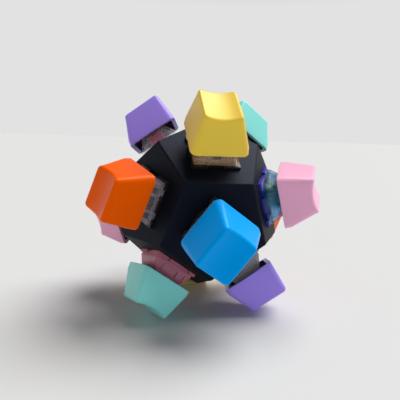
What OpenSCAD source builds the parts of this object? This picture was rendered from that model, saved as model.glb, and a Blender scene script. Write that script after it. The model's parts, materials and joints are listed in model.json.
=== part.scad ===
// A twelve-sided desk fidget: a hollow printed dodecahedron with one keyboard switch and
// one blank keycap on every face. Each key is pressed along its own face's normal.
// The piece stands on the corners of its three lowest keycaps, +Z up, -Y to the front.

/* [Body shell] */
// Length of an edge of the dodecahedron
edge_len = 21; // [19:0.5:28]
// Thickness of the printed wall
wall = 3; // [2.2:0.1:4]
// Width of the flat that breaks each outer edge
edge_break = 0.5; // [0.2:0.1:1.2]

/* [Switch cut-outs] */
// Side of the square hole that a switch snaps into
cutout = 14; // [13:0.1:17]
// Thickness of wall that the switch's clips hook under
clip_lip = 1.5; // [1:0.1:1.8]
// How far the relief behind the lip reaches past the hole on each side
clip_relief = 1; // [0.7:0.1:1.3]

/* [Switch housing] */
// Play between the housing and the hole on each side
housing_gap = 0.05; // [0.02:0.01:0.15]
// How far the flange reaches past the hole on each side
flange_reach = 0.8; // [0.5:0.1:1.2]
// Thickness of the flange
flange_t = 1; // [0.7:0.1:1.4]
// Wall of the bottom housing
base_wall = 1; // [0.8:0.1:1.3]
// Depth of the bottom housing behind the face
base_depth = 5; // [4.5:0.1:5.5]
// Depth of the locating post behind the face
post_depth = 8.3; // [7.8:0.1:9]
// Height of the cover's top above the face
cover_top = 6.6; // [6.2:0.1:7.2]
// Wall of the cover
cover_wall = 0.8; // [0.6:0.1:1]
// Room under the cover beside the slider's shoulders
cover_room_x = 0.8; // [0.6:0.1:1.6]
// Room under the cover in front of the slider and behind it
cover_room_y = 2.4; // [2:0.1:3]

/* [Slider and spring] */
// How far a key goes down
travel = 4; // [3:0.1:5]
// Span of the cross that a keycap is pushed onto
cross_span = 4.1; // [3.4:0.1:5]
// Thickness of the cross's arms
cross_arm = 1.2; // [1:0.05:1.4]
// Height of the cross above the cover
cross_height = 3.6; // [3:0.1:4.2]
// Side-to-side width of the slider
slider_w = 7; // [6.8:0.1:8.5]
// Play between the slider and the cover's opening on each side
slider_gap = 0.15; // [0.1:0.05:0.3]
// Diameter of the spring's wire
wire = 0.3; // [0.2:0.05:0.4]
// Turns of the spring
spring_turns = 9; // [7:1:11]
// Thickness of the contacts' sheet
contact_t = 0.2; // [0.1:0.05:0.3]

/* [Keycap] */
// How far the keycap's skirt stands outside the cut-out on each side
skirt_reach = 2.05; // [1.9:0.05:2.3]
// Height of the keycap at its front edge
key_front = 11.2; // [9:0.1:14]
// How much higher its back edge is
key_rise = 0.3; // [0:0.1:1.2]
// Side-to-side width of its top
key_top_w = 12.3; // [11.5:0.1:14]
// Front-to-back depth of its top
key_top_d = 14; // [12.5:0.1:15]
// How far the top sits behind the middle
key_skew = 1.5; // [0:0.1:1.9]
// How much higher the back edge of a steep-row keycap is
steep_rise = 0.9; // [0.4:0.1:1.5]
// How far the top of a steep-row keycap sits behind the middle
steep_skew = 1.9; // [0:0.1:2]
// Thickness of its walls
key_wall = 1.4; // [1:0.1:1.6]
// Depth of the finger dish
dish_depth = 1.1; // [0.5:0.1:1.3]
// Radius of its skirt's corners
key_round = 2.2; // [1:0.1:2.4]
// Radius of its top corners
key_top_round = 0.9; // [0.5:0.1:1.2]

/* [Hidden] */
$fn = 48;
eps = 0.01;
big = 100;
hull_fn = 20;
SIGNS = [-1, 1];
golden = (1 + sqrt(5)) / 2;

// Distances of a dodecahedron's faces and edges from its middle, and half the angle
// between two of its faces
inradius = edge_len * golden ^ 2 / (2 * sqrt(3 - golden));
midradius = edge_len * golden ^ 2 / 2;
half_dihedral = atan(golden);
// The faces lie in four rings around the vertex that points up
RING = [
    atan(2 / golden ^ 2), atan(2 * golden ^ 2),
    180 - atan(2 * golden ^ 2), 180 - atan(2 / golden ^ 2),
];
LOWEST_RING = 3;
HALF_OF_FACES = 6;
MINT_TOP = 1;
BLUE_FRONT = 6;
MINT_BOTTOM = 9;
BLUE_BACK = 5;

// Columns of the table of faces: name, ring, azimuth, the face that the hole is squared to,
// quarter turns of the keycap, moulding of the bottom housing, quarter turns of the housing,
// colours of keycap, cover and slider, and the keycap's row
NAME = 0;
IN_RING = 1;
AZIMUTH = 2;
SQUARED_TO = 3;
KEY_TURNS = 4;
MOULDING = 5;
HOUSING_TURNS = 6;
KEY_COLOUR = 7;
COVER_COLOUR = 8;
SLIDER_COLOUR = 9;
KEY_ROW = 10;
FLAT = [key_rise, key_skew];
STEEP = [steep_rise, steep_skew];
FACES = [
    ["yellow_top", 0, -90, BLUE_FRONT, 0, "black", 0, "#f0dc7d", "#b49b82", "#5a4636", STEEP],
    ["mint_top", 0, 30, BLUE_BACK, 3, "black", 0, "#96e6dc", "#d7dbde", "#b23a35", FLAT],
    ["purple_top", 0, 150, BLUE_BACK, 1, "clear", 0, "#8e78cc", "#dcd4d8", "#d2417f", FLAT],
    ["orange_left", 1, -150, BLUE_FRONT, 1, "black", 0, "#f2691b", "#b3a5ac", "#8f8f93", FLAT],
    ["pink_right", 1, -30, BLUE_FRONT, 0, "violet", 1, "#f0bedc", "#7fb2cf", "#4f7f8c", FLAT],
    ["blue_back", 1, 90, MINT_TOP, 0, "black", 0, "#0f9be1", "#d7dbde", "#3d62b8", FLAT],
    ["blue_front", 2, -90, MINT_BOTTOM, 2, "black", 0, "#0f9be1", "#d7dbde", "#3f8a5b", FLAT],
    ["orange_right", 2, 30, BLUE_BACK, 1, "black", 0, "#f2691b", "#d7dbde", "#c99a2e", FLAT],
    ["pink_left", 2, 150, BLUE_BACK, 2, "red", 0, "#f0bedc", "#a04a4a", "#e8e4df", FLAT],
    ["mint_bottom", 3, -150, BLUE_FRONT, 2, "rose", 1, "#96e6dc", "#b8808c", "#b8808c", FLAT],
    ["purple_bottom", 3, -30, BLUE_FRONT, 1, "smoke", 0, "#8e78cc", "#8f8c90", "#5f6166", FLAT],
    ["yellow_bottom", 3, 90, BLUE_BACK, 3, "black", 0, "#f0dc7d", "#d7dbde", "#26262a", FLAT],
];
ALL_FACES = [0:len(FACES) - 1];
MOULDINGS = [
    ["black", "#2a2b2e"], ["clear", "#dcd4d8"], ["violet", "#5a46a8"],
    ["red", "#7c2f33"], ["rose", "#b8808c"], ["smoke", "#8f8c90"],
];

// Bottom housing: heights are counted along a face's normal from the wall's outside
housing_w = cutout - 2 * housing_gap;
flange_w = cutout + 2 * flange_reach;
cavity_w = housing_w - 2 * base_wall;
foot_slope = 0.6;
foot_w = housing_w - 2 * foot_slope;
straight_depth = 2.6;
floor_z = base_wall - base_depth;
clip_w = 4.4;
clip_reach = 0.45;
clip_height = 0.9;
clip_notch_w = 5;

// Cover: a straight rim, sloping sides, and two arms on each side into the base
cover_lap = 0.2;
cover_base = cutout + 2 * cover_lap;
rim_height = 1.2;
cover_under = cover_top - cover_wall;
arm_t = 0.5;
arm_w = 2.6;
arm_y = 4;
arm_z = -1.6;
arm_gap = 0.05;

// Slider: widths that follow from the cross, from the inside out
socket_wall = 0.7;
socket_room = 0.05;
socket_d = cross_span + 2 * socket_wall;
slider_d = socket_d + 2 * socket_room;
floor_room = 0.8;
slider_z = floor_z + travel + floor_room;
opening_w = slider_w + 2 * slider_gap;
opening_d = slider_d + 2 * slider_gap;
shoulder_reach = 0.8;
shoulder_inset = 1.1;
shoulder_w = slider_w + 2 * shoulder_reach;
shoulder_d = slider_d - 2 * shoulder_inset;
cover_w = shoulder_w + cover_room_x + 2 * cover_wall;
cover_d = slider_d + cover_room_y + 2 * cover_wall;
lamp_slot = [4.6, 0.8];
lamp_gap = 0.4;
lamp_y = -(opening_d / 2 + lamp_slot.y / 2 + lamp_gap);

// Spring, and the tube and pole that keep it straight
pocket_wall = 0.4;
pocket_roof = 1.8;
pocket_d = slider_d - 2 * pocket_wall;
pocket_z = cover_top - pocket_roof;
spring_room = 0.1;
spring_d = pocket_d - 2 * spring_room;
spring_steps = 8;
guide_room = 0.3;
guide_wall = 0.3;
guide_d = spring_d - 2 * (wire + guide_room);
guide_bore = guide_d - 2 * guide_wall;
guide_drop = 1.3;
guide_z = pocket_z - travel - guide_drop;
pole_room = 0.1;
pole_d = guide_bore - 2 * pole_room;
post_wall = 0.6;
post_d = guide_bore + 2 * post_wall;
bore_z = post_wall - post_depth;
pole_z = bore_z + pole_room + travel;

// Contacts: two upright leaves behind the slider, each with a terminal
terminal = [1.3, 0.4];
terminal_gap = 0.05;
fixed_x = 2.54;
leaf_inset = 0.87;
fixed_y = cavity_w / 2 - leaf_inset;
moving_x = -3.81;
leaf_spacing = 0.7;
moving_y = fixed_y - leaf_spacing;
moving_pin_y = 2.54;
fixed_leaf = [4.4, 2.2];
moving_leaf = [6, 3.4];
follower = [1.4, 0.9, 1];
foot_t = 0.3;

// Keycap
key_base = cutout + 2 * skirt_reach;
skirt_gap = 1;
skirt_z = flange_t + skirt_gap + travel;
skirt_band = 0.6;
socket_gap = 0.4;
socket_z = cover_top + socket_gap;
slot_z = cover_top + cross_height + socket_gap;
roof_height = key_front - dish_depth - key_wall;
roof_share = roof_height / key_front;

// Directions of a face: along its normal, down its slope, and sideways
function polar(f) = RING[FACES[f][IN_RING]];
function azimuth(f) = FACES[f][AZIMUTH];
function normal(f) = [
    sin(polar(f)) * cos(azimuth(f)), sin(polar(f)) * sin(azimuth(f)), cos(polar(f)),
];
function slope(f) = [
    cos(polar(f)) * cos(azimuth(f)), cos(polar(f)) * sin(azimuth(f)), -sin(polar(f)),
];
function sideways(f) = [-sin(azimuth(f)), cos(azimuth(f)), 0];

// Angle on the face of the edge that its hole is squared to, and of a key's x axis
function edge_angle(f) =
    let (n = normal(FACES[f][SQUARED_TO])) atan2(n * sideways(f), n * slope(f));
function key_angle(f) = edge_angle(f) + 90 * FACES[f][KEY_TURNS] + 90;

// A point of a key's own frame, seen from the middle of the body
function from_key(f, p) = let (a = key_angle(f))
    (p.x * cos(a) - p.y * sin(a)) * slope(f)
    + (p.x * sin(a) + p.y * cos(a)) * sideways(f)
    + (inradius + p.z) * normal(f);

// Rise and skew of a keycap, and the middle of the rounding at one of its top corners
function rise(f) = FACES[f][KEY_ROW][0];
function skew(f) = FACES[f][KEY_ROW][1];
function top_corner(f, side, end) = [
    side * (key_top_w / 2 - key_top_round),
    skew(f) + end * (key_top_d / 2 - key_top_round),
    skirt_z + key_front + (end > 0 ? rise(f) : 0) - key_top_round,
];
function lowest(points) = let (low = min([for (p = points) p.z]))
    [for (p = points) if (p.z == low) p][0];
function low_corner(f) =
    lowest([for (side = SIGNS, end = SIGNS) from_key(f, top_corner(f, side, end))]);

// The body is tipped very slightly, so that its three lowest keycap corners are level
feet = [for (f = ALL_FACES) if (FACES[f][IN_RING] == LOWEST_RING) low_corner(f)];
across = cross(feet[1] - feet[0], feet[2] - feet[0]);
level = across / norm(across) * sign(across.z);
centre_height = key_top_round - feet[0] * level;

module standing() {
    translate([0, 0, centre_height])
        rotate(a = acos(level.z), v = cross(level, [0, 0, 1]))
            children();
}

module on_face(f, angle) {
    standing()
        rotate([0, polar(f), azimuth(f)])
            translate([0, 0, inradius])
                rotate(angle)
                    children();
}

module on_key(f) {
    on_face(f, key_angle(f)) children();
}

module on_housing(f) {
    on_face(f, key_angle(f) + 90 * FACES[f][HOUSING_TURNS]) children();
}

// A box centred on the key's axis, and a round rod along it
module block(size, low, high) {
    translate([-size.x / 2, -size.y / 2, low]) cube([size.x, size.y, high - low]);
}

module rod(d, low, high) {
    translate([0, 0, low]) cylinder(d = d, h = high - low);
}

// A block whose planar sides slope from a lower to an upper outline
module taper_block(lower, upper, height, shift = 0) {
    intersection() {
        rotate([90, 0, 0])
            linear_extrude(big, center = true)
                polygon([
                    [-lower.x / 2, 0], [lower.x / 2, 0],
                    [upper.x / 2, height], [-upper.x / 2, height],
                ]);
        rotate([90, 0, 90])
            linear_extrude(big, center = true)
                polygon([
                    [-lower.y / 2, 0], [lower.y / 2, 0],
                    [shift + upper.y / 2, height], [shift - upper.y / 2, height],
                ]);
    }
}

// Everything between two planes square to a direction, at this distance either way
module slab(direction, distance) {
    rotate([0, acos(direction.z / norm(direction)), atan2(direction.y, direction.x)])
        cube([big, big, 2 * distance], center = true);
}

module dodecahedron(distance) {
    intersection_for(f = [0:HALF_OF_FACES - 1])
        slab(normal(f), distance);
}

// One direction for each pair of opposite edges, square to the edge
function is_upper(v) = v.z > eps || (v.z > -eps && (v.y > eps || (v.y > -eps && v.x > 0)));
edge_directions = [
    for (i = ALL_FACES, j = ALL_FACES)
        let (v = normal(i) + normal(j))
            if (i < j && normal(i) * normal(j) > eps && is_upper(v)) v,
];

module broken_edges() {
    flat_depth = edge_break / 2 / tan(half_dihedral);
    intersection_for(v = edge_directions)
        slab(v, midradius - flat_depth);
}

module body_shell() {
    relief = cutout + 2 * clip_relief;
    color("#23262c")
        difference() {
            standing()
                difference() {
                    intersection() {
                        dodecahedron(inradius);
                        broken_edges();
                    }
                    dodecahedron(inradius - wall);
                }
            for (f = ALL_FACES)
                on_face(f, edge_angle(f)) {
                    block([cutout, cutout], -wall - eps, eps);
                    block([relief, relief], -wall - eps, -clip_lip);
                }
        }
}

module bottom_housing() {
    difference() {
        union() {
            block([flange_w, flange_w], 0, flange_t);
            block([housing_w, housing_w], -straight_depth, eps);
            translate([0, 0, -straight_depth])
                mirror([0, 0, 1])
                    taper_block([housing_w, housing_w], [foot_w, foot_w], base_depth - straight_depth);
            // The two snap clips, with a lead-in below and a shoulder under the lip
            for (side = SIGNS)
                translate([0, side * (housing_w - clip_reach) / 2, -clip_lip - housing_gap])
                    mirror([0, 0, 1])
                        taper_block([clip_w, 3 * clip_reach], [clip_w, clip_reach], clip_height);
            rod(post_d, -post_depth, eps - base_depth);
        }
        block([cavity_w, cavity_w], floor_z, flange_t + eps);
        rod(guide_bore, bore_z, floor_z + eps);
        // Gaps in the flange over the snap clips
        for (side = SIGNS)
            translate([0, side * flange_w / 2, 0])
                block([clip_notch_w, 2 * flange_reach], -eps, flange_t + eps);
        // Grooves for the cover's four arms
        for (side = SIGNS, end = SIGNS)
            translate([side * (housing_w / 2 - arm_t - arm_gap + flange_w / 2), end * arm_y, 0])
                block([flange_w, arm_w + 2 * arm_gap], arm_z - arm_gap, flange_t + eps);
        translate([fixed_x, fixed_y, 0])
            block(terminal + 2 * [terminal_gap, terminal_gap], -base_depth - eps, floor_z + eps);
        translate([moving_x, moving_pin_y, 0])
            block(terminal + 2 * [terminal_gap, terminal_gap], -base_depth - eps, floor_z + eps);
    }
    difference() {
        rod(guide_d, floor_z - eps, guide_z);
        rod(guide_bore, floor_z - 2 * eps, guide_z + eps);
    }
}

module bottom_housings(moulding) {
    color(moulding[1])
        for (f = ALL_FACES)
            if (FACES[f][MOULDING] == moulding[0])
                on_housing(f) bottom_housing();
}

module fixed_contact() {
    translate([fixed_x - terminal.x / 2, fixed_y, 0])
        block([fixed_leaf.x, contact_t], floor_z, fixed_leaf.y);
    translate([fixed_x, fixed_y, 0])
        block(terminal, -post_depth, floor_z + foot_t);
}

module moving_contact() {
    translate([moving_x + moving_leaf.x / 2 - terminal.x / 2, moving_y, 0])
        block([moving_leaf.x, contact_t], floor_z, moving_leaf.y);
    // The follower that the slider's leg holds off
    translate([moving_x + moving_leaf.x / 2, moving_y - follower.y / 2, 0])
        block([follower.x, follower.y], 0, follower.z);
    translate([moving_x, (moving_y + moving_pin_y) / 2, 0])
        block([terminal.x, moving_y - moving_pin_y + terminal.y], floor_z, floor_z + foot_t);
    translate([moving_x, moving_pin_y, 0])
        block(terminal, -post_depth, floor_z + eps);
}

module moving_contacts() {
    color("#b08d57") for (f = ALL_FACES) on_housing(f) moving_contact();
}

module fixed_contacts() {
    color("#b08d57") for (f = ALL_FACES) on_housing(f) fixed_contact();
}

module cover(f) {
    inner = cover_base - 2 * cover_wall;
    slope_z = flange_t + rim_height;
    color(FACES[f][COVER_COLOUR])
        on_housing(f) {
            difference() {
                union() {
                    block([cover_base, cover_base], flange_t, slope_z);
                    translate([0, 0, slope_z])
                        taper_block([cover_base, cover_base], [cover_w, cover_d], cover_top - slope_z);
                }
                block([inner, inner], flange_t - eps, slope_z + eps);
                translate([0, 0, slope_z])
                    taper_block(
                        [inner, inner],
                        [cover_w, cover_d] - 2 * [cover_wall, cover_wall],
                        cover_under - slope_z
                    );
                block([opening_w, opening_d], slope_z, cover_top + eps);
                translate([0, lamp_y, 0])
                    block(lamp_slot, slope_z, cover_top + eps);
            }
            for (side = SIGNS, end = SIGNS)
                translate([side * (housing_w - arm_t) / 2, end * arm_y, 0])
                    block([arm_t, arm_w], arm_z, flange_t + eps);
        }
}

module cross_bars(low, high) {
    block([cross_span, cross_arm], low, high);
    block([cross_arm, cross_span], low, high);
}

module slider(f) {
    color(FACES[f][SLIDER_COLOUR])
        on_housing(f) {
            difference() {
                union() {
                    block([slider_w, slider_d], slider_z, cover_top);
                    block([shoulder_w, shoulder_d], slider_z, cover_under);
                }
                rod(pocket_d, slider_z - eps, pocket_z);
            }
            rod(pole_d, pole_z, pocket_z + eps);
            cross_bars(cover_top - eps, cover_top + cross_height);
        }
}

// Corners of the wire's four-sided section at each step of the helix
module helix(d, low, high) {
    steps = spring_turns * spring_steps;
    section = [[wire / 2, 0], [0, wire / 2], [-wire / 2, 0], [0, -wire / 2]];
    points = [
        for (i = [0:steps], p = section)
            let (
                r = (d - wire) / 2 + p.x,
                z = low + wire / 2 + (high - low - wire) * i / steps + p.y,
                a = 360 * i / spring_steps
            ) [r * cos(a), r * sin(a), z],
    ];
    sides = [
        for (i = [0:steps - 1], k = [0:3])
            let (a = 4 * i + k, b = 4 * i + (k + 1) % 4) [a, b, b + 4, a + 4],
    ];
    last = 4 * steps;
    polyhedron(points, concat([[3, 2, 1, 0]], sides, [[last, last + 1, last + 2, last + 3]]));
}

module spring(f) {
    color("#c0c2c4") on_housing(f) helix(spring_d, floor_z, pocket_z);
}

function between(low, high, share) = low + (high - low) * share;

module keycap_outside(f) {
    hull() {
        for (side = SIGNS, end = SIGNS) {
            corner = key_base / 2 - key_round;
            translate([side * corner, end * corner, skirt_z])
                cylinder(r = key_round, h = skirt_band, $fn = hull_fn);
            translate(top_corner(f, side, end))
                sphere(r = key_top_round, $fn = hull_fn);
        }
    }
}

module finger_dish(f) {
    chord = key_top_w - key_top_round;
    radius = (chord ^ 2 / 4 + dish_depth ^ 2) / (2 * dish_depth);
    lean = atan(rise(f) / key_top_d);
    translate([0, skew(f), skirt_z + key_front + rise(f) / 2 - dish_depth + radius])
        rotate([lean - 90, 0, 0])
            cylinder(r = radius, h = big, center = true);
}

module keycap(f) {
    inside = key_base - 2 * key_wall;
    roof = [
        between(key_base, key_top_w, roof_share) - 2 * key_wall,
        between(key_base, key_top_d, roof_share) - 2 * key_wall,
    ];
    color(FACES[f][KEY_COLOUR])
        on_key(f) {
            difference() {
                keycap_outside(f);
                finger_dish(f);
                translate([0, 0, skirt_z - eps])
                    taper_block([inside, inside], roof, roof_height + eps, skew(f) * roof_share);
            }
            difference() {
                rod(socket_d, socket_z, skirt_z + roof_height + eps);
                cross_bars(socket_z - eps, slot_z);
            }
        }
}

body_shell();
for (m = MOULDINGS)
    bottom_housings(m);
moving_contacts();
fixed_contacts();
for (f = ALL_FACES) {
    cover(f);
    spring(f);
    slider(f);
    keycap(f);
}
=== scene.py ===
import json
import math
from collections import namedtuple

import bmesh
import bpy
from mathutils import Euler, Matrix, Vector


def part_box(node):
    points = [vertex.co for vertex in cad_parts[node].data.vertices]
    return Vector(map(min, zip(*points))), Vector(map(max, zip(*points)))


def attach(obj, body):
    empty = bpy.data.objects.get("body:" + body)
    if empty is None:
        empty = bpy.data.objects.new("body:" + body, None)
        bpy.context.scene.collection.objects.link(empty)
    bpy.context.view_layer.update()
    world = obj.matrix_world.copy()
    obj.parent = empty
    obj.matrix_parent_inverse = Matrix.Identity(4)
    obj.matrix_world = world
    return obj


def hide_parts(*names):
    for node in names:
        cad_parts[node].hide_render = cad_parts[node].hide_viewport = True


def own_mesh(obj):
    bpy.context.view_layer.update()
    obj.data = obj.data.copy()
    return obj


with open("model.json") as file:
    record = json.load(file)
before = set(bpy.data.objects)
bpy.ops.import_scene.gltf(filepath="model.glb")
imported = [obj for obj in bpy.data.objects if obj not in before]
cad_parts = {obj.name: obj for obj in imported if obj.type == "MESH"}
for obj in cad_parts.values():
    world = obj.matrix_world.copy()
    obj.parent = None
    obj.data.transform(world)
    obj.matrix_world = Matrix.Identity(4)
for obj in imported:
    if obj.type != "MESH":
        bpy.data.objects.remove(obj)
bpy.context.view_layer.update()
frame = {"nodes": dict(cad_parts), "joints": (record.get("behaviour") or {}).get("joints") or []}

# ---------------------------------------------------------------------------
# Stage: a pale floor that runs out to a sky of nearly the same tone, which darkens overhead, and one
# broad soft light from above, a little to the right. The camera looks slightly down from just left of
# the front.
MM = 0.001
CAMERA_PLACE = (-0.03266, -0.14707, 0.05953)
CAMERA_TURN = (81.74, -1.70, -12.18)
BEHIND_CAMERA, BEYOND, OVERHEAD = 0.6, 0.76, 0.12  # tones of the sky
LIGHT_FROM = Vector((0.5, 0.14, 1))


def linear(hex_colour):
    """An sRGB hex colour as linear red, green, blue and an alpha of one."""
    channels = [int(hex_colour[i:i + 2], 16) / 255 for i in (1, 3, 5)]
    return [c / 12.92 if c <= 0.04045 else ((c + 0.055) / 1.055) ** 2.4 for c in channels] + [1.0]


def add(tree, kind, inputs, **settings):
    """Adds a node. Each input is a value, or the output of another node."""
    node = tree.nodes.new(kind)
    for name, value in settings.items():
        setattr(node, name, value)
    for socket, value in inputs.items():
        if isinstance(value, bpy.types.NodeSocket):
            tree.links.new(value, node.inputs[socket])
        else:
            node.inputs[socket].default_value = value
    return node


def mixed(tree, factor, first, second):
    """A colour between two others."""
    mix = add(tree, "ShaderNodeMix", {"Factor": factor, "A": first, "B": second}, data_type="RGBA")
    return mix.outputs["Result"]


def new_material(name):
    material = bpy.data.materials.new(name)
    material.use_nodes = True
    material.node_tree.nodes.clear()
    return material, material.node_tree


def surface(tree, **shader_inputs):
    """Ends a material with its shader. An input's name has underscores for spaces."""
    inputs = {name.replace("_", " "): value for name, value in shader_inputs.items()}
    shader = add(tree, "ShaderNodeBsdfPrincipled", inputs)
    add(tree, "ShaderNodeOutputMaterial", {"Surface": shader.outputs[0]})


lens = bpy.data.cameras.new("camera")
lens.lens = 38.35
lens.sensor_width = 36
lens.clip_start = 0.005
camera = bpy.data.objects.new("camera", lens)
camera.location = CAMERA_PLACE
camera.rotation_euler = Euler([math.radians(angle) for angle in CAMERA_TURN])
bpy.context.scene.collection.objects.link(camera)
bpy.context.scene.camera = camera
bpy.context.scene.view_settings.view_transform = "Standard"

world = bpy.data.worlds.new("studio")
world.use_nodes = True
tree = world.node_tree
tree.nodes.clear()
way = add(tree, "ShaderNodeSeparateXYZ", {0: add(tree, "ShaderNodeTexCoord", {}).outputs["Generated"]})
backdrop = add(
    tree, "ShaderNodeMapRange",
    {"Value": way.outputs["Y"], "From Min": -0.6, "From Max": 0.1, "To Min": BEHIND_CAMERA, "To Max": BEYOND})
sky = add(
    tree, "ShaderNodeMapRange",
    {"Value": way.outputs["Z"], "From Min": 0.28, "From Max": 0.5, "To Min": backdrop.outputs[0],
     "To Max": OVERHEAD})
glow = add(tree, "ShaderNodeBackground", {"Color": linear("#ffffff"), "Strength": sky.outputs[0]})
add(tree, "ShaderNodeOutputWorld", {"Surface": glow.outputs[0]})
bpy.context.scene.world = world

light = bpy.data.lights.new("overhead", "SUN")
light.energy = 3.75
light.angle = math.radians(45)
lamp = bpy.data.objects.new("overhead", light)
lamp.rotation_euler = LIGHT_FROM.to_track_quat("Z", "Y").to_euler()
bpy.context.scene.collection.objects.link(lamp)

bm = bmesh.new()
bmesh.ops.create_grid(bm, x_segments=2, y_segments=2, size=30)
floor_mesh = bpy.data.meshes.new("floor")
bm.to_mesh(floor_mesh)
bm.free()
floor = bpy.data.objects.new("floor", floor_mesh)
bpy.context.scene.collection.objects.link(floor)
paper, tree = new_material("matte white backdrop paper")
fibres = add(tree, "ShaderNodeTexNoise", {"Scale": 900.0, "Detail": 3.0})
tone = add(tree, "ShaderNodeMapRange", {"Value": fibres.outputs["Fac"], "To Min": 0.985, "To Max": 1.0})
surface(tree, Base_Color=mixed(tree, tone.outputs[0], linear("#cacaca"), linear("#cececd")), Roughness=0.9)
floor_mesh.materials.append(paper)

# ---------------------------------------------------------------------------
# Faces: every key has a frame of its own, with its origin on the shell's outside, z along the
# joint's axis and y towards the keycap's back. A hole is squared to one neighbouring face, and its
# keycap and its switch are each put in at some quarter turn from that.
Face = namedtuple("Face", "squared_to cap_turns switch_turns cap cover slider")
FACES = {
    "yellow_top": Face("blue_front", 0, 0, "yellow", "smoky_amber", "brown"),
    "mint_top": Face("blue_back", 3, 0, "mint", "clear", "red"),
    "purple_top": Face("blue_back", 1, 0, "purple", "clear", "magenta"),
    "orange_left": Face("blue_front", 1, 0, "orange", "smoky_pink", "grey"),
    "pink_right": Face("blue_front", 0, 1, "pink", "ice_blue", "teal"),
    "blue_back": Face("mint_top", 0, 0, "blue", "clear", "blue"),
    "blue_front": Face("mint_bottom", 2, 0, "blue", "clear", "green"),
    "orange_right": Face("blue_back", 1, 0, "orange", "clear", "gold"),
    "pink_left": Face("blue_back", 2, 0, "pink", "red", "cream"),
    "mint_bottom": Face("blue_front", 2, 1, "mint", "rose", "rose"),
    "purple_bottom": Face("blue_front", 1, 0, "purple", "smoke", "slate"),
    "yellow_bottom": Face("blue_back", 3, 0, "yellow", "clear", "black"),
}
nodes = frame["nodes"]
middle = sum(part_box("body_shell"), Vector()) / 2
outward = {j["child"].removeprefix("key_"): Vector(j["axis"]).normalized() for j in frame["joints"]}
face_height = max((v.co - middle).dot(outward["yellow_top"]) for v in nodes["body_shell"].data.vertices)


def key_frame(face, extra_turns=0):
    """Matrix from a key's own millimetres to the row frame."""
    z = outward[face]
    towards = outward[FACES[face].squared_to]
    across = (towards - towards.dot(z) * z).normalized()
    quarter_turns = FACES[face].cap_turns + extra_turns + 1
    x = Matrix.Rotation(math.radians(90 * quarter_turns), 3, z) @ across
    axes = Matrix((x, z.cross(x), z)).transposed().to_4x4()
    return Matrix.Translation(middle + face_height * z) @ axes @ Matrix.Scale(MM, 4)


def switch_frame(face):
    return key_frame(face, FACES[face].switch_turns)


def own_box(node, place):
    """A CAD node's lowest and highest corners in a key's own millimetres."""
    inverse = place.inverted()
    points = [inverse @ v.co for v in nodes[node].data.vertices]
    return [Vector([pick(p[i] for p in points) for i in range(3)]) for pick in (min, max)]


# ---------------------------------------------------------------------------
# Body shell: one hollow print in blue-black PLA, built up with the front blue key's face flat on the
# plate. Its layers show as faint lines parallel to that face, and a few white specks of dust sit on it.
LINE_SPACING = 2.64  # only about one layer line in thirteen stands out
WAVE_UNIT = 20  # radians that the wave texture runs through in one unit, at a scale of one
black_print, tree = new_material("blue-black matte PLA print")
spot = add(tree, "ShaderNodeTexCoord", {}).outputs["Object"]
stack = outward["blue_front"].to_track_quat("Z", "Y").inverted().to_euler()
layered = add(tree, "ShaderNodeMapping", {"Vector": spot, "Rotation": stack}, vector_type="POINT")
bands = add(
    tree, "ShaderNodeTexWave",
    {"Vector": layered.outputs[0], "Scale": 2 * math.pi / (LINE_SPACING * MM) / WAVE_UNIT,
     "Distortion": 0.6, "Detail": 2.0, "Detail Scale": 0.4},
    bands_direction="Z", wave_profile="SIN")
grit = add(tree, "ShaderNodeTexNoise", {"Vector": spot, "Scale": 1 / (0.5 * MM), "Detail": 4.0})
drift = add(tree, "ShaderNodeTexNoise", {"Vector": spot, "Scale": 1 / (14 * MM), "Detail": 2.0})
relief = add(
    tree, "ShaderNodeMath", {0: bands.outputs["Fac"], 1: 0.55, 2: grit.outputs["Fac"]},
    operation="MULTIPLY_ADD")
bump = add(tree, "ShaderNodeBump", {"Height": relief.outputs[0], "Strength": 0.28, "Distance": 0.06 * MM})
dust = add(tree, "ShaderNodeTexVoronoi", {"Vector": spot, "Scale": 1 / (2.6 * MM), "Randomness": 1.0})
speck = add(
    tree, "ShaderNodeMapRange",
    {"Value": dust.outputs["Distance"], "From Min": 0.03, "From Max": 0.05, "To Min": 1.0, "To Max": 0.0})
rare = add(tree, "ShaderNodeMath", {0: dust.outputs["Color"], 1: 0.86}, operation="GREATER_THAN")
dusty = add(tree, "ShaderNodeMath", {0: speck.outputs[0], 1: rare.outputs[0]}, operation="MULTIPLY")
clean = mixed(tree, drift.outputs["Fac"], linear("#090c12"), linear("#0e121b"))
gloss = add(tree, "ShaderNodeMapRange", {"Value": grit.outputs["Fac"], "To Min": 0.5, "To Max": 0.66})
surface(
    tree, Base_Color=mixed(tree, dusty.outputs[0], clean, linear("#6d7077")), Roughness=gloss.outputs[0],
    IOR=1.46, Specular_IOR_Level=0.25, Specular_Tint=linear("#9fb0e0"), Normal=bump.outputs[0])


def coat(node, material, rounding):
    """Gives a CAD node its finish, and rounds its edges as a mould or a nozzle does."""
    piece = nodes[node]
    piece.data.materials.clear()
    piece.data.materials.append(material)
    weld = piece.modifiers.new("weld", "WELD")
    weld.merge_threshold = 0.001 * MM
    flat = piece.modifiers.new("flat", "DECIMATE")
    flat.decimate_type = "DISSOLVE"
    flat.angle_limit = math.radians(1)
    bevel = piece.modifiers.new("bevel", "BEVEL")
    bevel.width = rounding * MM
    bevel.segments = 2
    bevel.limit_method = "ANGLE"
    bevel.angle_limit = math.radians(25)


coat("body_shell", black_print, 0.12)

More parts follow.
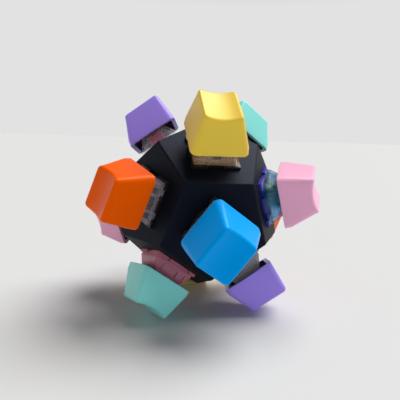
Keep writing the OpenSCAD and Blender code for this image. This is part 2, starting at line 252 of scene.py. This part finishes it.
# ---------------------------------------------------------------------------
# Bottom housings: the switches' moulded nylon bases, whose flanges lie on the shell. Most are black,
# and five are tinted. Nylon moulds with a fine satin skin.
def moulded(name, colour, roughness, grain=0.35, bump_strength=0.12, **shader_inputs):
    """An opaque or clear moulded plastic with a fine grain and a slightly uneven tone."""
    material, tree = new_material(name)
    spot = add(tree, "ShaderNodeTexCoord", {}).outputs["Object"]
    grit = add(tree, "ShaderNodeTexNoise", {"Vector": spot, "Scale": 1 / (grain * MM), "Detail": 3.0})
    flow = add(tree, "ShaderNodeTexNoise", {"Vector": spot, "Scale": 1 / (9 * MM), "Detail": 2.0})
    bump = add(
        tree, "ShaderNodeBump",
        {"Height": grit.outputs["Fac"], "Strength": bump_strength, "Distance": 0.05 * MM})
    darker = [0.93 * c for c in linear(colour)[:3]] + [1.0]
    gloss = add(
        tree, "ShaderNodeMapRange",
        {"Value": grit.outputs["Fac"], "To Min": roughness - 0.05, "To Max": roughness + 0.05})
    surface(
        tree, Base_Color=mixed(tree, flow.outputs["Fac"], darker, linear(colour)),
        Roughness=gloss.outputs[0], Normal=bump.outputs[0], **shader_inputs)
    return material


NYLON = {
    # colour: (tint, how much each surface hides of what is behind it)
    "black": ("#0e0f11", 1.0), "clear": ("#efe9ec", 0.3), "violet": ("#3a1fb0", 1.0),
    "red": ("#7c2428", 1.0), "rose": ("#c06f86", 1.0), "smoke": ("#a9a3a6", 0.75),
}
for colour, (tint, hiding) in NYLON.items():
    nylon = moulded(f"{colour} moulded nylon", tint, 0.42, IOR=1.53, Alpha=hiding)
    coat(f"bottom_housing_{colour}", nylon, 0.1)

# ---------------------------------------------------------------------------
# Contacts: two thin leaves of gold-plated copper in every switch, seen through the clear covers.
gilt, tree = new_material("rolled gold-plated copper")
spot = add(tree, "ShaderNodeTexCoord", {}).outputs["Object"]
rolled = add(tree, "ShaderNodeTexNoise", {"Vector": spot, "Scale": 1 / (0.8 * MM), "Detail": 3.0})
gloss = add(tree, "ShaderNodeMapRange", {"Value": rolled.outputs["Fac"], "To Min": 0.22, "To Max": 0.36})
surface(
    tree, Base_Color=mixed(tree, rolled.outputs["Fac"], linear("#b98a4a"), linear("#e3c58c")),
    Metallic=1.0, Roughness=gloss.outputs[0])
for node in ("moving_contacts", "fixed_contacts"):
    coat(node, gilt, 0.04)

# ---------------------------------------------------------------------------
# Sliders: moulded acetal, slippery and slightly waxy, each colour standing for another feel.
ACETAL = {
    "brown": "#44291a", "red": "#b23a35", "magenta": "#f02c8a", "grey": "#7c8494", "teal": "#63b4b4",
    "blue": "#3d62b8", "green": "#3f8a5b", "gold": "#c99a2e", "cream": "#e8e4df", "rose": "#c06f86",
    "slate": "#5f6166", "black": "#1c1c20",
}
for face in FACES:
    colour = FACES[face].slider
    acetal = moulded(f"{colour} moulded acetal", ACETAL[colour], 0.3, IOR=1.48)
    coat(f"slider_{face}", acetal, 0.1)

# ---------------------------------------------------------------------------
# Springs: wound steel wire under each slider. A spring stands on the bottom housing and rides on the body at
# one length.
WIRE = 0.3
SPRING_TURNS = 9
STEPS = 20 * SPRING_TURNS


def finish_mesh(name, bm, place, body, material, smooth_angle):
    """Puts a finished mesh at its place in the row frame and lets it ride on its body."""
    bmesh.ops.transform(bm, matrix=place, verts=bm.verts)
    mesh = bpy.data.meshes.new(name)
    bm.to_mesh(mesh)
    bm.free()
    mesh.shade_smooth()
    mesh.set_sharp_from_angle(angle=math.radians(smooth_angle))
    mesh.materials.append(material)
    piece = bpy.data.objects.new(name, mesh)
    bpy.context.scene.collection.objects.link(piece)
    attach(piece, body)
    return piece


steel, tree = new_material("drawn spring steel")
spot = add(tree, "ShaderNodeTexCoord", {}).outputs["Object"]
drawn = add(tree, "ShaderNodeTexNoise", {"Vector": spot, "Scale": 1 / (0.3 * MM), "Detail": 2.0})
gloss = add(tree, "ShaderNodeMapRange", {"Value": drawn.outputs["Fac"], "To Min": 0.2, "To Max": 0.34})
surface(tree, Base_Color=linear("#c9cbcf"), Metallic=1.0, Roughness=gloss.outputs[0])
for face in FACES:
    place = switch_frame(face)
    low, high = own_box(f"spring_{face}", place)
    radius = high.x - WIRE / 2
    bm = bmesh.new()
    start = Matrix.Translation((radius, 0, low.z + WIRE / 2)) @ Matrix.Rotation(math.pi / 2, 4, "X")
    section = bmesh.ops.create_circle(bm, segments=8, radius=WIRE / 2, cap_ends=True, matrix=start)
    rise = (high.z - low.z - WIRE) / STEPS
    bmesh.ops.spin(
        bm, geom=section["verts"] + bm.edges[:] + bm.faces[:], cent=(0, 0, 0), axis=(0, 0, 1),
        dvec=(0, 0, rise), angle=2 * math.pi * SPRING_TURNS, steps=STEPS)
    bmesh.ops.recalc_face_normals(bm, faces=bm.faces)
    spring = finish_mesh(f"return_spring_{face}", bm, place, "body", steel, 60)
    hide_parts(f"spring_{face}")
    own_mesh(spring)

# ---------------------------------------------------------------------------
# Covers: the switches' top housings, moulded in polycarbonate, mostly clear. A square rim sits on the
# flange, the sides slope in to a top with the slider's opening, and four arms clip into the base.
POLYCARBONATE = {
    # finish: (tint, roughness, how much each surface hides of what is behind it)
    "smoky_amber": ("#eabb92", 0.12, 0.26), "clear": ("#f4ecef", 0.06, 0.18),
    "smoky_pink": ("#cfc0cc", 0.12, 0.27), "ice_blue": ("#57bdf5", 0.03, 0.5),
    "red": ("#8e2a2e", 0.3, 0.9), "rose": ("#c06f86", 0.4, 1.0), "smoke": ("#b5afb2", 0.32, 0.75),
}
COVER_WALL = 0.8
COVER_BOTTOM, RIM_TOP = 1.0, 2.2
RIM_CORNER = 0.5
TOP_W, TOP_D, TOP_CORNER = 11.0, 9.6, 0.6
OPENING_W, OPENING_D, OPENING_CORNER = 7.3, 5.9, 0.2
INNER_CORNER = 0.3
RIM_EASE, TOP_EASE = 0.1, 0.15  # how far the edges are taken back
RECESS = 0.4
LAMP_W, LAMP_BOTTOM, LAMP_SPLAY = 3.3, 2.9, 0.12
PANEL_END, POCKET_START, POCKET_END = 2.3, 3.2, 5.2
PANEL_BOTTOM, PANEL_TOP, PANEL_EDGE = 2.4, 4.6, 0.2
RAIL_X, RAIL_Y, RAIL_W, RAIL_D, RAIL_DROP = 4.75, 2.4, 0.6, 0.7, 0.6
ARM_X, ARM_Y, ARM_W, ARM_D, ARM_TOP = 6.7, 4, 0.5, 2.6, 1.4
HAIR = 0.02  # keeps two outlines from lying level, where the bridge between them may cross over


def outline(bm, width, depth, corner, height, shift=0.0):
    """The edges of a flat rectangle with round corners."""
    size = Matrix.Diagonal((width, depth, 1, 1))
    made = bmesh.ops.create_grid(
        bm, x_segments=1, y_segments=1, size=0.5, matrix=Matrix.Translation((0, shift, height)) @ size)
    rounded = bmesh.ops.bevel(
        bm, geom=made["verts"], offset=corner, affect="VERTICES", segments=6, profile=0.5, material=-1)
    hub = max((v for v in rounded["verts"] if v.is_valid), key=lambda v: len(v.link_edges))
    sheet = hub.link_faces[0]
    edges = list(sheet.edges)
    bmesh.ops.delete(bm, geom=[sheet], context="FACES_ONLY")
    return edges


def wall(bm, outlines):
    """Bridges each outline to the next one."""
    for lower, upper in zip(outlines, outlines[1:]):
        bmesh.ops.bridge_loops(bm, edges=lower + upper)


def parts(faces):
    """Faces with their edges and corners."""
    edges = dict.fromkeys(e for f in faces for e in f.edges)
    corners = dict.fromkeys(v for f in faces for v in f.verts)
    return [*faces, *edges, *corners]


def cut(bm, geometry, point, normal, reach=0.0):
    """Cuts along a plane, and gives back all of what was cut."""
    return bmesh.ops.bisect_plane(bm, geom=geometry, dist=reach, plane_co=point, plane_no=normal)["geom"]


def faces_of(geometry):
    return [f for f in geometry if isinstance(f, bmesh.types.BMFace)]


def block(bm, centre, size, bottom, top, rounding):
    """An upright box with its edges rounded."""
    place = Matrix.Translation((*centre, (bottom + top) / 2)) @ Matrix.Diagonal((*size, top - bottom, 1))
    made = bmesh.ops.create_cube(bm, size=1, matrix=place)
    edges = list(dict.fromkeys(e for v in made["verts"] for e in v.link_edges))
    bmesh.ops.bevel(bm, geom=edges, offset=rounding, affect="EDGES", segments=2, profile=0.5, material=-1)


def lamp_recess(bm, top):
    """The recess for a lamp in the front, wider at its top."""
    front = max((f for f in bm.faces if f.normal.y < -0.3 and f.normal.z > 0.1), key=lambda f: f.calc_area())
    pieces = parts([front])
    for side in (-1, 1):
        pieces = cut(bm, pieces, (side * LAMP_W / 2, 0, top), (side, 0, -LAMP_SPLAY))
    pieces = cut(bm, pieces, (0, 0, LAMP_BOTTOM), (0, 0, 1))
    front_edge = Vector((0, -TOP_D / 2, top))
    recess = min(faces_of(pieces), key=lambda f: (f.calc_center_median() - front_edge).length)
    bmesh.ops.inset_region(bm, faces=[recess], thickness=TOP_EASE, depth=-RECESS, use_even_offset=True)
    # On the smoky covers the recess takes the second material, a dark sheet of painted shade.
    recess.material_index = 1


def side_pockets(bm, side):
    """A panel and two pockets in one of the sides, over the clips."""
    sloping = [f for f in bm.faces if f.normal.x * side > 0.3 and f.normal.z > 0.1]
    pieces = parts([max(sloping, key=lambda f: f.calc_area())])
    for y in (-POCKET_END, -POCKET_START, -PANEL_END, PANEL_END, POCKET_START, POCKET_END):
        pieces = cut(bm, pieces, (0, y, 0), (0, 1, 0))
    for z in (PANEL_BOTTOM, PANEL_TOP):
        pieces = cut(bm, pieces, (0, 0, z), (0, 0, 1))
    pockets = []
    for f in faces_of(pieces):
        spot = f.calc_center_median()
        along = abs(spot.y)
        if PANEL_BOTTOM < spot.z < PANEL_TOP and (along < PANEL_END or POCKET_START < along < POCKET_END):
            pockets.append(f)
    bmesh.ops.inset_individual(bm, faces=pockets, thickness=PANEL_EDGE, depth=-RECESS)
    # On the smoky covers the pockets take the second material, a dark sheet of painted shade.
    for f in pockets:
        f.material_index = 1


covers = {}
for finish, (tint, roughness, hiding) in POLYCARBONATE.items():
    kind = "clear" if hiding < 0.5 else "cloudy"
    look = {"Alpha": hiding, "Specular_IOR_Level": 0.5 / hiding ** 0.5}
    if finish == "ice_blue":
        look = {"Alpha": hiding, "Transmission_Weight": 1.0}
    covers[finish] = moulded(
        f"{finish.replace('_', ' ')} {kind} polycarbonate", tint, roughness, grain=1.1, bump_strength=0.15,
        IOR=1.58, **look)
# Painted shade: a dark sheet for the recesses and pockets where they open onto the shadowed inside, not a
# second tint of plastic.
painted_shade = moulded("smoked polycarbonate", "#343a49", 0.2, IOR=1.58, Alpha=0.6)
for face in FACES:
    place = switch_frame(face)
    finish = FACES[face].cover
    low, high = own_box(f"cover_{face}", place)
    base_w = high.x - low.x
    top = high.z
    inner_w, inner_top_w, inner_top_d = (width - 2 * COVER_WALL for width in (base_w, TOP_W, TOP_D))
    rim_w, lip_w, lip_d = (width - 2 * TOP_EASE for width in (base_w, TOP_W, TOP_D))
    foot_w = base_w - 2 * RIM_EASE
    mouth_w, mouth_d = OPENING_W + 2 * TOP_EASE, OPENING_D + 2 * TOP_EASE
    bm = bmesh.new()
    outlines = [outline(bm, *o) for o in (
        (foot_w, foot_w, RIM_CORNER - RIM_EASE, COVER_BOTTOM),
        (base_w, base_w, RIM_CORNER, COVER_BOTTOM + RIM_EASE),
        (base_w, base_w, RIM_CORNER, RIM_TOP - RIM_EASE),
        (rim_w, rim_w, RIM_CORNER, RIM_TOP),
        (TOP_W, TOP_D, TOP_CORNER, top - TOP_EASE),
        (lip_w, lip_d, TOP_CORNER - RIM_EASE, top),
        (mouth_w, mouth_d, OPENING_CORNER + TOP_EASE, top - HAIR),
        (OPENING_W, OPENING_D, OPENING_CORNER, top - TOP_EASE),
        (OPENING_W, OPENING_D, OPENING_CORNER, top - COVER_WALL + HAIR),
        (inner_top_w, inner_top_d, INNER_CORNER, top - COVER_WALL),
        (inner_w, inner_w, INNER_CORNER, RIM_TOP),
        (inner_w, inner_w, INNER_CORNER, COVER_BOTTOM),
    )]
    wall(bm, outlines + outlines[:1])
    bmesh.ops.recalc_face_normals(bm, faces=bm.faces)
    lamp_recess(bm, top)
    for side in (-1, 1):
        side_pockets(bm, side)
    # Rails that guide the slider, and the four arms
    for side in (-1, 1):
        for end in (-1, 1):
            block(bm, (side * RAIL_X, end * RAIL_Y), (RAIL_W, RAIL_D), RIM_TOP, top - RAIL_DROP, 0.1)
            block(bm, (side * ARM_X, end * ARM_Y), (ARM_W, ARM_D), low.z, ARM_TOP, 0.08)
    cover = finish_mesh(f"switch_cover_{face}", bm, place, "body", covers[finish], 20)
    # Second material: the painted shade sheet on the smoky covers, and the cover's own finish on the rest.
    cover.data.materials.append(painted_shade if finish.startswith("smoky") else covers[finish])
    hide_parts(f"cover_{face}")

# ---------------------------------------------------------------------------
# Keycaps: blank caps moulded in coloured PBT with a fine matte grain. A square skirt tapers to a top
# with a dish hollowed from front to back, the rims are rounded, and a tube inside takes the cross.
PBT = {
    "yellow": "#f8d552", "mint": "#93f0ea", "purple": "#ae94ff", "orange": "#ff6200", "pink": "#fbb8d8",
    "blue": "#00a6ff",
}
INSIDE_SHADE = 0.35  # painted shade: how bright the inside is painted, next to the outside, though it is the same plastic
CAP_W, CAP_D, CAP_CORNER = 12.4, 14.0, 1.4
SKIRT_CORNER, SKIRT_EASE, SKIRT_EDGE = 2.2, 0.1, 0.15
FLAT_ROW, STEEP_ROW = (1.5, 0.3), (1.9, 0.9)  # how far back the top sits, how much higher its back is
RIM_RADIUS = 1.15
RIM_STEPS = 6
DISH = 1.1
CAP_WALL = 1.4
BAND, BAND_TAPER_W, BAND_TAPER_D, BAND_LEAN = 2.2, 0.5, 0.45, 0.1
MOUTH_CORNER, ROOF_CORNER, ROOF_EASE, ROOF_FLARE = 1.0, 0.4, 0.2, 0.5
STRIPS = 24
SNAP = 0.01
SOCKET_D, SOCKET_START, SOCKET_SINK = 5.5, 1.0, 0.3
CROSS_SPAN, CROSS_ARM = 4.1, 1.2


def deepen(hex_colour, share):
    """The same hex colour, darker."""
    return "#" + "".join(f"{int(int(hex_colour[i:i + 2], 16) * share):02x}" for i in (1, 3, 5))


def cap_outside(bm, base_w, skirt, front_top, shift):
    """The outside, closed at its top and flat there, and its bottom outline."""
    rim = front_top - RIM_RADIUS
    corner = SKIRT_CORNER - SKIRT_EASE
    stack = [
        (base_w - 2 * SKIRT_EASE, base_w - 2 * SKIRT_EASE, corner, skirt, 0.0),
        (base_w, base_w, SKIRT_CORNER, skirt + SKIRT_EDGE, 0.0),
        (base_w - BAND_TAPER_W, base_w - BAND_TAPER_D, corner, skirt + BAND, shift * BAND_LEAN),
    ]
    for i in range(RIM_STEPS + 1):
        turn = math.radians(90 * i / RIM_STEPS)
        inset = RIM_RADIUS * (1 - math.cos(turn))
        height = rim + RIM_RADIUS * math.sin(turn)
        stack.append((CAP_W - 2 * inset, CAP_D - 2 * inset, CAP_CORNER - inset, height, shift))
    outlines = [outline(bm, *o) for o in stack]
    wall(bm, outlines)
    bmesh.ops.contextual_create(bm, geom=outlines[-1])
    return outlines[0]


def cap_inside(bm, bottom, base_w, skirt, front_top, roof, shift):
    """The hollow under the cap, up to its roof, and the ring around its mouth."""
    outside = set(bm.faces)
    share = (roof - skirt) / (front_top - skirt)
    mouth = base_w - 2 * CAP_WALL
    mouth_edge = mouth + 2 * SKIRT_EASE
    roof_w, roof_d = (base_w + (size - base_w) * share - 2 * CAP_WALL for size in (CAP_W, CAP_D))
    inner = [outline(bm, *o) for o in (
        (mouth_edge, mouth_edge, MOUTH_CORNER + SKIRT_EASE, skirt + HAIR, 0.0),
        (mouth, mouth, MOUTH_CORNER, skirt + SKIRT_EDGE, 0.0),
        (roof_w + ROOF_FLARE, roof_d + ROOF_FLARE, ROOF_CORNER + ROOF_EASE, roof - 2 * ROOF_EASE,
         shift * share),
        (roof_w, roof_d, ROOF_CORNER, roof, shift * share),
    )]
    wall(bm, inner)
    bmesh.ops.contextual_create(bm, geom=inner[-1])
    # The inside takes the second material, a darker copy of the same plastic: painted shade.
    for f in bm.faces:
        if f not in outside:
            f.material_index = 1
    wall(bm, [bottom, inner[0]])


def hollow_top(bm, skin, base_w, skirt, front_top, shift, climb):
    """Tilts the top and sinks a shallow stretch of a cylinder in it, which the front and back meet."""
    flat = CAP_W / 2 - CAP_CORNER
    for i in range(STRIPS + 1):
        skin = cut(bm, skin, (flat * (2 * i / STRIPS - 1), 0, 0), (1, 0, 0), SNAP)
    rim = front_top - RIM_RADIUS
    chord = CAP_W / 2 - RIM_RADIUS / 2
    steep = (base_w - CAP_D) / 2 / (rim - skirt - BAND)
    for v in bm.verts:
        if v.co.z > rim - SNAP:
            sag = DISH * max(0.0, 1 - (v.co.x / chord) ** 2)
            from_middle = v.co.y - shift
            v.co.z += climb * (from_middle / CAP_D + 0.5) - sag
            v.co.y += math.copysign(sag * steep, from_middle) * min(1.0, abs(from_middle) / (CAP_D / 2))
    bmesh.ops.recalc_face_normals(bm, faces=bm.faces)


def cross_socket(bm, bottom, top):
    """A tube whose hole is a cross."""
    before = set(bm.faces)
    bmesh.ops.create_circle(
        bm, segments=40, radius=SOCKET_D / 2, cap_ends=True, matrix=Matrix.Translation((0, 0, bottom)))
    for axis in (Vector((1, 0, 0)), Vector((0, 1, 0))):
        for distance in (CROSS_ARM / 2, CROSS_SPAN / 2):
            for side in (-1, 1):
                cut(bm, parts([f for f in bm.faces if f not in before]), side * distance * axis, axis)
    disc = [f for f in bm.faces if f not in before]
    hole = []
    for f in disc:
        near, far = sorted(abs(distance) for distance in f.calc_center_median().xy)
        if near < CROSS_ARM / 2 and far < CROSS_SPAN / 2:
            hole.append(f)
    bmesh.ops.delete(bm, geom=hole, context="FACES")
    tube = [f for f in disc if f.is_valid]
    # The tube takes the same darker copy of the plastic: painted shade.
    for f in tube:
        f.material_index = 1
    raised = bmesh.ops.extrude_face_region(bm, geom=tube, use_keep_orig=True)["geom"]
    raised_verts = [v for v in raised if isinstance(v, bmesh.types.BMVert)]
    bmesh.ops.translate(bm, vec=(0, 0, top - bottom), verts=raised_verts)
    bmesh.ops.recalc_face_normals(bm, faces=[f for f in bm.faces if f not in before])


plastics, shaded_insides = {}, {}
for colour, tint in PBT.items():
    gloss = {"IOR": 1.57, "Specular_IOR_Level": 0.3, "Specular_Tint": linear(tint)}
    plastics[colour] = moulded(f"{colour} grained PBT", tint, 0.34, **gloss)
    # A darker copy of each plastic for the cap's inside and tube: painted shade where the hollow lies in
    # shadow.
    shaded_insides[colour] = moulded(f"deep {colour} smooth PBT", deepen(tint, INSIDE_SHADE), 0.3, **gloss)
for face in FACES:
    place = key_frame(face)
    colour = FACES[face].cap
    low, high = own_box(f"keycap_{face}", place)
    skirt, base_w = low.z, high.x - low.x
    shift, climb = STEEP_ROW if face == "yellow_top" else FLAT_ROW
    front_top = high.z - climb
    roof = front_top - DISH - CAP_WALL
    bm = bmesh.new()
    bottom = cap_outside(bm, base_w, skirt, front_top, shift)
    skin = bm.verts[:] + bm.edges[:] + bm.faces[:]
    cap_inside(bm, bottom, base_w, skirt, front_top, roof, shift)
    hollow_top(bm, skin, base_w, skirt, front_top, shift, climb)
    cross_socket(bm, skirt + SOCKET_START, roof + SOCKET_SINK)
    cap = finish_mesh(f"cap_{face}", bm, place, f"key_{face}", plastics[colour], 30)
    cap.data.materials.append(shaded_insides[colour])
    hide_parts(f"keycap_{face}")
